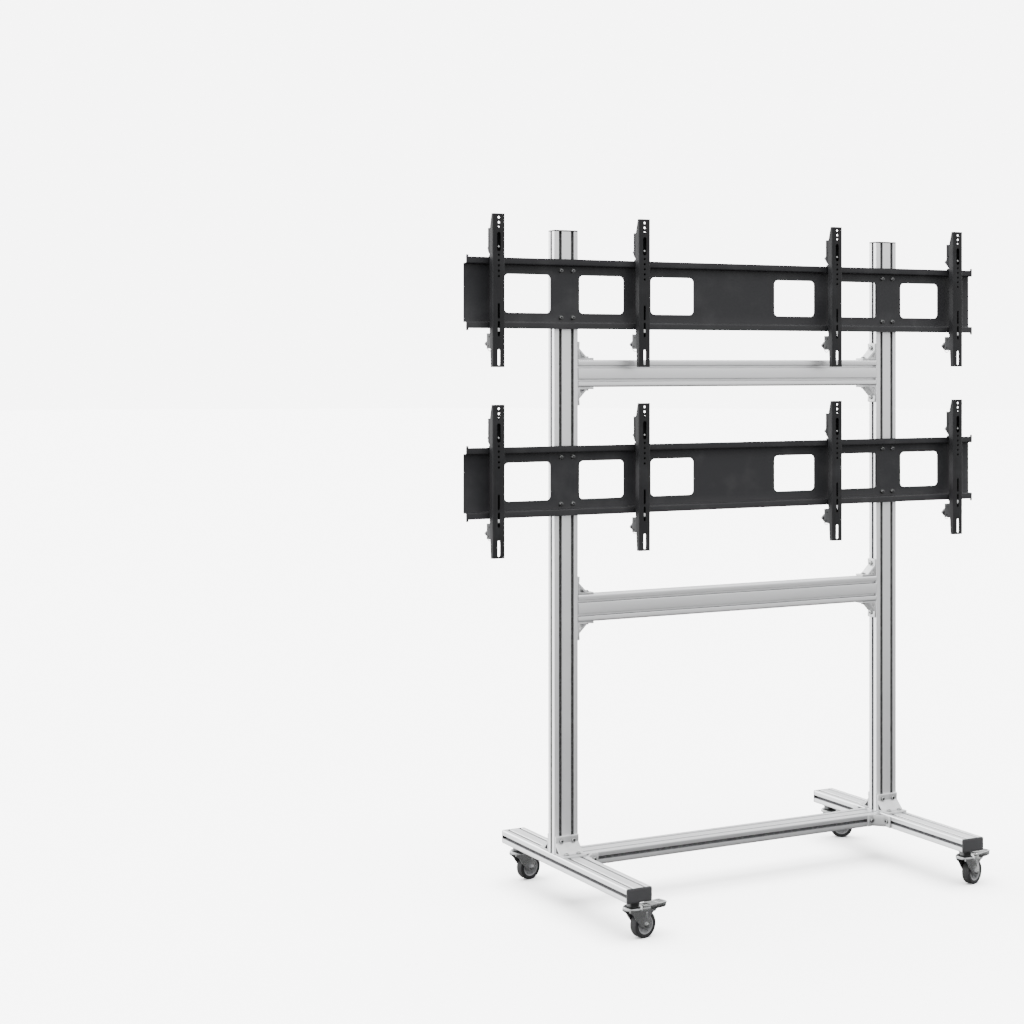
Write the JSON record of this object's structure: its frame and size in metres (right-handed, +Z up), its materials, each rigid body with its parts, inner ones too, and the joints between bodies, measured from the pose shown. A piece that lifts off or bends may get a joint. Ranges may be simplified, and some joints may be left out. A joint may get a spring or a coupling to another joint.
{
  "type": "mobile video wall stand",
  "caption": "Wheeled floor stand of slotted aluminium profile with two horizontal display rails and sliding vertical arms that carry a wall of flat displays",
  "frame": {"origin": "on the floor, under the middle of the footprint", "axes": "+Z up, +X along the rails to the right seen from the display side, displays hang on the -Y side"},
  "size_m": [1.842, 0.7474, 2.005],
  "materials": {
    "post_left_finish": "satin anodised",
    "post_cap_left_finish": "moulded, matt dark grey",
    "foot_left_finish": "satin anodised",
    "foot_cap_front_left_finish": "moulded, matt dark grey",
    "foot_cap_rear_left_finish": "moulded, matt dark grey",
    "post_right_finish": "satin anodised",
    "post_cap_right_finish": "moulded, matt dark grey",
    "foot_right_finish": "satin anodised",
    "foot_cap_front_right_finish": "moulded, matt dark grey",
    "foot_cap_rear_right_finish": "moulded, matt dark grey",
    "crossbar_upper_finish": "satin anodised",
    "crossbar_lower_finish": "satin anodised",
    "base_crossbar_finish": "satin anodised",
    "foot_bracket_front_left_finish": "die cast, satin",
    "foot_bracket_rear_left_finish": "die cast, satin",
    "crossbar_bracket_upper_top_left_finish": "die cast, satin",
    "crossbar_bracket_upper_under_left_finish": "die cast, satin",
    "crossbar_bracket_lower_top_left_finish": "die cast, satin",
    "crossbar_bracket_lower_under_left_finish": "die cast, satin",
    "foot_bracket_front_right_finish": "die cast, satin",
    "foot_bracket_rear_right_finish": "die cast, satin",
    "crossbar_bracket_upper_top_right_finish": "die cast, satin",
    "crossbar_bracket_upper_under_right_finish": "die cast, satin",
    "crossbar_bracket_lower_top_right_finish": "die cast, satin",
    "crossbar_bracket_lower_under_right_finish": "die cast, satin",
    "rail_upper_finish": "fine black powder coat",
    "rail_lower_finish": "fine black powder coat",
    "caster_mount_front_left_finish": "bright zinc plated",
    "caster_fork_front_left_finish": "bright zinc plated",
    "caster_wheel_front_left_finish": "dark grey tread",
    "brake_pedal_front_left_finish": "bright zinc plated",
    "caster_mount_front_right_finish": "bright zinc plated",
    "caster_fork_front_right_finish": "bright zinc plated",
    "caster_wheel_front_right_finish": "dark grey tread",
    "brake_pedal_front_right_finish": "bright zinc plated",
    "caster_mount_rear_left_finish": "bright zinc plated",
    "caster_fork_rear_left_finish": "bright zinc plated",
    "caster_wheel_rear_left_finish": "dark grey tread",
    "brake_pedal_rear_left_finish": "bright zinc plated",
    "caster_mount_rear_right_finish": "bright zinc plated",
    "caster_fork_rear_right_finish": "bright zinc plated",
    "caster_wheel_rear_right_finish": "dark grey tread",
    "brake_pedal_rear_right_finish": "bright zinc plated",
    "hook_carriage_upper_1_finish": "fine black powder coat",
    "display_arm_upper_1_finish": "fine black powder coat",
    "hook_carriage_upper_2_finish": "fine black powder coat",
    "display_arm_upper_2_finish": "fine black powder coat",
    "hook_carriage_upper_3_finish": "fine black powder coat",
    "display_arm_upper_3_finish": "fine black powder coat",
    "hook_carriage_upper_4_finish": "fine black powder coat",
    "display_arm_upper_4_finish": "fine black powder coat",
    "hook_carriage_lower_1_finish": "fine black powder coat",
    "display_arm_lower_1_finish": "fine black powder coat",
    "hook_carriage_lower_2_finish": "fine black powder coat",
    "display_arm_lower_2_finish": "fine black powder coat",
    "hook_carriage_lower_3_finish": "fine black powder coat",
    "display_arm_lower_3_finish": "fine black powder coat",
    "hook_carriage_lower_4_finish": "fine black powder coat",
    "display_arm_lower_4_finish": "fine black powder coat"
  },
  "bodies": {
    "frame": {"post_left": "post_left_finish", "post_cap_left": "post_cap_left_finish", "foot_left": "foot_left_finish", "foot_cap_front_left": "foot_cap_front_left_finish", "foot_cap_rear_left": "foot_cap_rear_left_finish", "post_right": "post_right_finish", "post_cap_right": "post_cap_right_finish", "foot_right": "foot_right_finish", "foot_cap_front_right": "foot_cap_front_right_finish", "foot_cap_rear_right": "foot_cap_rear_right_finish", "crossbar_upper": "crossbar_upper_finish", "crossbar_lower": "crossbar_lower_finish", "base_crossbar": "base_crossbar_finish", "foot_bracket_front_left": "foot_bracket_front_left_finish", "foot_bracket_rear_left": "foot_bracket_rear_left_finish", "crossbar_bracket_upper_top_left": "crossbar_bracket_upper_top_left_finish", "crossbar_bracket_upper_under_left": "crossbar_bracket_upper_under_left_finish", "crossbar_bracket_lower_top_left": "crossbar_bracket_lower_top_left_finish", "crossbar_bracket_lower_under_left": "crossbar_bracket_lower_under_left_finish", "foot_bracket_front_right": "foot_bracket_front_right_finish", "foot_bracket_rear_right": "foot_bracket_rear_right_finish", "crossbar_bracket_upper_top_right": "crossbar_bracket_upper_top_right_finish", "crossbar_bracket_upper_under_right": "crossbar_bracket_upper_under_right_finish", "crossbar_bracket_lower_top_right": "crossbar_bracket_lower_top_right_finish", "crossbar_bracket_lower_under_right": "crossbar_bracket_lower_under_right_finish", "rail_upper": "rail_upper_finish", "rail_lower": "rail_lower_finish", "caster_mount_front_left": "caster_mount_front_left_finish", "caster_mount_front_right": "caster_mount_front_right_finish", "caster_mount_rear_left": "caster_mount_rear_left_finish", "caster_mount_rear_right": "caster_mount_rear_right_finish"},
    "fork_front_left": {"caster_fork_front_left": "caster_fork_front_left_finish"},
    "wheel_front_left": {"caster_wheel_front_left": "caster_wheel_front_left_finish"},
    "pedal_front_left": {"brake_pedal_front_left": "brake_pedal_front_left_finish"},
    "fork_front_right": {"caster_fork_front_right": "caster_fork_front_right_finish"},
    "wheel_front_right": {"caster_wheel_front_right": "caster_wheel_front_right_finish"},
    "pedal_front_right": {"brake_pedal_front_right": "brake_pedal_front_right_finish"},
    "fork_rear_left": {"caster_fork_rear_left": "caster_fork_rear_left_finish"},
    "wheel_rear_left": {"caster_wheel_rear_left": "caster_wheel_rear_left_finish"},
    "pedal_rear_left": {"brake_pedal_rear_left": "brake_pedal_rear_left_finish"},
    "fork_rear_right": {"caster_fork_rear_right": "caster_fork_rear_right_finish"},
    "wheel_rear_right": {"caster_wheel_rear_right": "caster_wheel_rear_right_finish"},
    "pedal_rear_right": {"brake_pedal_rear_right": "brake_pedal_rear_right_finish"},
    "carriage_upper_1": {"hook_carriage_upper_1": "hook_carriage_upper_1_finish"},
    "arm_upper_1": {"display_arm_upper_1": "display_arm_upper_1_finish"},
    "carriage_upper_2": {"hook_carriage_upper_2": "hook_carriage_upper_2_finish"},
    "arm_upper_2": {"display_arm_upper_2": "display_arm_upper_2_finish"},
    "carriage_upper_3": {"hook_carriage_upper_3": "hook_carriage_upper_3_finish"},
    "arm_upper_3": {"display_arm_upper_3": "display_arm_upper_3_finish"},
    "carriage_upper_4": {"hook_carriage_upper_4": "hook_carriage_upper_4_finish"},
    "arm_upper_4": {"display_arm_upper_4": "display_arm_upper_4_finish"},
    "carriage_lower_1": {"hook_carriage_lower_1": "hook_carriage_lower_1_finish"},
    "arm_lower_1": {"display_arm_lower_1": "display_arm_lower_1_finish"},
    "carriage_lower_2": {"hook_carriage_lower_2": "hook_carriage_lower_2_finish"},
    "arm_lower_2": {"display_arm_lower_2": "display_arm_lower_2_finish"},
    "carriage_lower_3": {"hook_carriage_lower_3": "hook_carriage_lower_3_finish"},
    "arm_lower_3": {"display_arm_lower_3": "display_arm_lower_3_finish"},
    "carriage_lower_4": {"hook_carriage_lower_4": "hook_carriage_lower_4_finish"},
    "arm_lower_4": {"display_arm_lower_4": "display_arm_lower_4_finish"}
  },
  "joints": [
    {"name": "swivel_front_left", "type": "hinge", "parent": "frame", "child": "fork_front_left", "pos_m": [-0.586, -0.336, 0.088], "axis": [0, 0, 1], "continuous": true},
    {"name": "wheel_spin_front_left", "type": "hinge", "parent": "fork_front_left", "child": "wheel_front_left", "pos_m": [-0.54962, -0.32926, 0.0375], "axis": [-0.1822, 0.9833, 0], "continuous": true},
    {"name": "brake_front_left", "type": "hinge", "parent": "fork_front_left", "child": "pedal_front_left", "pos_m": [-0.52012, -0.32379, 0.0785], "axis": [-0.1822, 0.9833, 0], "range_deg": [0, 12]},
    {"name": "swivel_front_right", "type": "hinge", "parent": "frame", "child": "fork_front_right", "pos_m": [0.586, -0.336, 0.088], "axis": [0, 0, 1], "continuous": true},
    {"name": "wheel_spin_front_right", "type": "hinge", "parent": "fork_front_right", "child": "wheel_front_right", "pos_m": [0.62138, -0.32518, 0.0375], "axis": [-0.2924, 0.9563, 0], "continuous": true},
    {"name": "brake_front_right", "type": "hinge", "parent": "fork_front_right", "child": "pedal_front_right", "pos_m": [0.65007, -0.31641, 0.0785], "axis": [-0.2924, 0.9563, 0], "range_deg": [0, 12]},
    {"name": "swivel_rear_left", "type": "hinge", "parent": "frame", "child": "fork_rear_left", "pos_m": [-0.586, 0.336, 0.088], "axis": [0, 0, 1], "continuous": true},
    {"name": "wheel_spin_rear_left", "type": "hinge", "parent": "fork_rear_left", "child": "wheel_rear_left", "pos_m": [-0.54968, 0.34306, 0.0375], "axis": [-0.1908, 0.9816, 0], "continuous": true},
    {"name": "brake_rear_left", "type": "hinge", "parent": "fork_rear_left", "child": "pedal_rear_left", "pos_m": [-0.52023, 0.34878, 0.0785], "axis": [-0.1908, 0.9816, 0], "range_deg": [0, 12]},
    {"name": "swivel_rear_right", "type": "hinge", "parent": "frame", "child": "fork_rear_right", "pos_m": [0.586, 0.336, 0.088], "axis": [0, 0, 1], "continuous": true},
    {"name": "wheel_spin_rear_right", "type": "hinge", "parent": "fork_rear_right", "child": "wheel_rear_right", "pos_m": [0.61804, 0.3175, 0.0375], "axis": [0.5, 0.866, 0], "continuous": true},
    {"name": "brake_rear_right", "type": "hinge", "parent": "fork_rear_right", "child": "pedal_rear_right", "pos_m": [0.64402, 0.3025, 0.0785], "axis": [0.5, 0.866, 0], "range_deg": [0, 12]},
    {"name": "side_shift_upper_1", "type": "slide", "parent": "frame", "child": "carriage_upper_1", "axis": [1, 0, 0], "range_m": [-0.06, 0.18]},
    {"name": "height_trim_upper_1", "type": "slide", "parent": "carriage_upper_1", "child": "arm_upper_1", "axis": [0, 0, 1], "range_m": [-0.01, 0.01]},
    {"name": "side_shift_upper_2", "type": "slide", "parent": "frame", "child": "carriage_upper_2", "axis": [1, 0, 0], "range_m": [-0.155, 0.28]},
    {"name": "height_trim_upper_2", "type": "slide", "parent": "carriage_upper_2", "child": "arm_upper_2", "axis": [0, 0, 1], "range_m": [-0.01, 0.01]},
    {"name": "side_shift_upper_3", "type": "slide", "parent": "frame", "child": "carriage_upper_3", "axis": [1, 0, 0], "range_m": [-0.28, 0.155]},
    {"name": "height_trim_upper_3", "type": "slide", "parent": "carriage_upper_3", "child": "arm_upper_3", "axis": [0, 0, 1], "range_m": [-0.01, 0.01]},
    {"name": "side_shift_upper_4", "type": "slide", "parent": "frame", "child": "carriage_upper_4", "axis": [1, 0, 0], "range_m": [-0.18, 0.06]},
    {"name": "height_trim_upper_4", "type": "slide", "parent": "carriage_upper_4", "child": "arm_upper_4", "axis": [0, 0, 1], "range_m": [-0.01, 0.01]},
    {"name": "side_shift_lower_1", "type": "slide", "parent": "frame", "child": "carriage_lower_1", "axis": [1, 0, 0], "range_m": [-0.06, 0.18]},
    {"name": "height_trim_lower_1", "type": "slide", "parent": "carriage_lower_1", "child": "arm_lower_1", "axis": [0, 0, 1], "range_m": [-0.01, 0.01]},
    {"name": "side_shift_lower_2", "type": "slide", "parent": "frame", "child": "carriage_lower_2", "axis": [1, 0, 0], "range_m": [-0.155, 0.28]},
    {"name": "height_trim_lower_2", "type": "slide", "parent": "carriage_lower_2", "child": "arm_lower_2", "axis": [0, 0, 1], "range_m": [-0.01, 0.01]},
    {"name": "side_shift_lower_3", "type": "slide", "parent": "frame", "child": "carriage_lower_3", "axis": [1, 0, 0], "range_m": [-0.28, 0.155]},
    {"name": "height_trim_lower_3", "type": "slide", "parent": "carriage_lower_3", "child": "arm_lower_3", "axis": [0, 0, 1], "range_m": [-0.01, 0.01]},
    {"name": "side_shift_lower_4", "type": "slide", "parent": "frame", "child": "carriage_lower_4", "axis": [1, 0, 0], "range_m": [-0.18, 0.06]},
    {"name": "height_trim_lower_4", "type": "slide", "parent": "carriage_lower_4", "child": "arm_lower_4", "axis": [0, 0, 1], "range_m": [-0.01, 0.01]}
  ]
}
